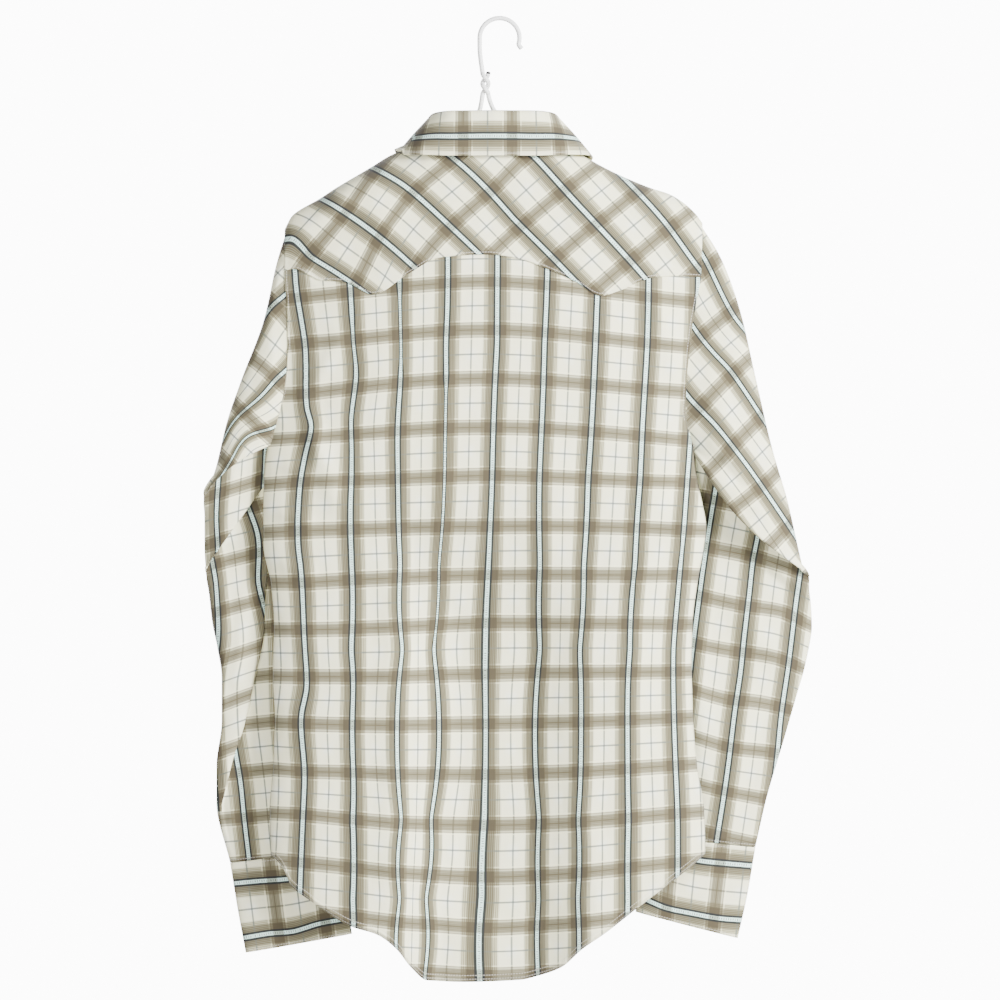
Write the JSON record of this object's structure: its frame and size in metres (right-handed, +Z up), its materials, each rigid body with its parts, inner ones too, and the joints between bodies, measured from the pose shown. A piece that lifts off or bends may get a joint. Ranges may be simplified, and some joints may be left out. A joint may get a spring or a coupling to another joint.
{
  "type": "western snap shirt on a wire hanger",
  "caption": "Long-sleeved western shirt with pointed yokes, turned-down collar and snapped cuffs, hanging closed on a bent wire hanger.",
  "frame": {"origin": "inside top of the hanger's hook, where the hook rests on what holds it", "axes": "+Z up along the hanging shirt, -Y towards the shirt's back, +X towards the wearer's right"},
  "size_m": [0.5828, 0.102, 0.9218],
  "materials": {
    "plaid_cotton": "woven cotton, off-white ground with taupe, slate and pale blue plaid",
    "hanger_coating": "smooth white plastic coating on steel wire",
    "snap_pearl": "pearl face in a thin rim"
  },
  "bodies": {
    "root": {"hanger": "hanger_coating", "back_panel": "plaid_cotton", "back_yoke": "plaid_cotton", "left_front_yoke": "plaid_cotton", "right_front_yoke": "plaid_cotton", "left_front": "plaid_cotton", "right_front": "plaid_cotton", "front_placket": "plaid_cotton", "collar_stand": "plaid_cotton", "collar_leaf": "plaid_cotton", "left_sleeve": "plaid_cotton", "right_sleeve": "plaid_cotton", "left_cuff": "plaid_cotton", "right_cuff": "plaid_cotton", "placket_snap_1": "snap_pearl", "placket_snap_2": "snap_pearl", "placket_snap_3": "snap_pearl", "placket_snap_4": "snap_pearl", "placket_snap_5": "snap_pearl", "placket_snap_6": "snap_pearl", "placket_snap_7": "snap_pearl", "left_cuff_snap_1": "snap_pearl", "left_cuff_snap_2": "snap_pearl", "left_cuff_snap_3": "snap_pearl", "right_cuff_snap_1": "snap_pearl", "right_cuff_snap_2": "snap_pearl", "right_cuff_snap_3": "snap_pearl"}
  },
  "joints": []
}
